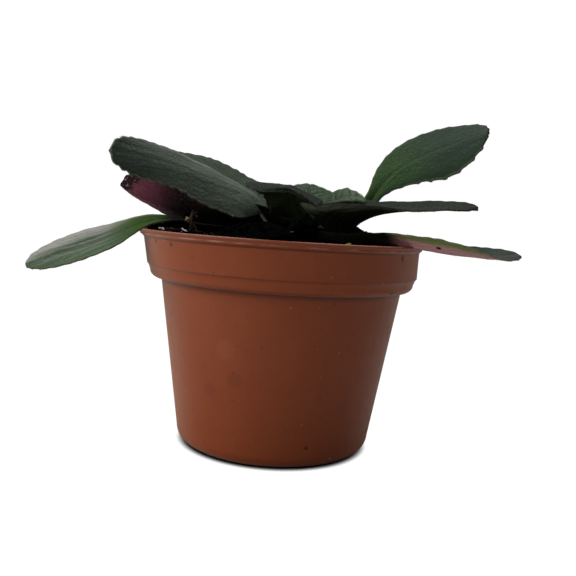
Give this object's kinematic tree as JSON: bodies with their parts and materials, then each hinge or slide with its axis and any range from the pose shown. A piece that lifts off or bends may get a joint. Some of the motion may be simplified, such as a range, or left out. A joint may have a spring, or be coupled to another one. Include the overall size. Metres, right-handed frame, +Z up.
{
  "type": "potted rosette plant",
  "caption": "Low rosette of thick hairy leaves in a round tapered plastic nursery pot filled with dark peat.",
  "frame": {"origin": "middle of the pot's flat base, on the surface that the pot stands on", "axes": "+Z up along the pot's axis, +Y to the back of the plant, +X to its right seen from the front"},
  "size_m": [0.1766, 0.1245, 0.1291],
  "materials": {
    "leaf_green": "velvety grey-green leaf with short hairs",
    "leaf_young": "young leaf, brighter green and hairy",
    "leaf_purple": "leaf that shows its dull purple underside",
    "pot_plastic": "satin terracotta brown moulded plastic",
    "peat": "dark crumbly peat mix",
    "stem_bark": "dull brown-green rootstock",
    "dry_stalk": "dry straw-brown stalk",
    "yellow_tissue": "yellow-green young leaf tip"
  },
  "bodies": {
    "root": {"pot": "pot_plastic", "potting_soil": "peat", "crown_stem": "stem_bark", "leaf_left_drooping": "leaf_green", "leaf_upper_left": "leaf_green", "leaf_left_purple": "leaf_purple", "leaf_back_left": "leaf_green", "leaf_front_arched": "leaf_green", "leaf_young_back": "leaf_young", "leaf_young_right": "leaf_young", "leaf_upper_right": "leaf_green", "leaf_right_level": "leaf_green", "leaf_right_drooping": "leaf_green", "leaf_back_right": "leaf_green", "leaf_back_middle": "leaf_green", "leaf_back_low_left": "leaf_green", "dry_leaf_stalk": "dry_stalk", "yellow_leaf_tip": "yellow_tissue"}
  },
  "joints": []
}
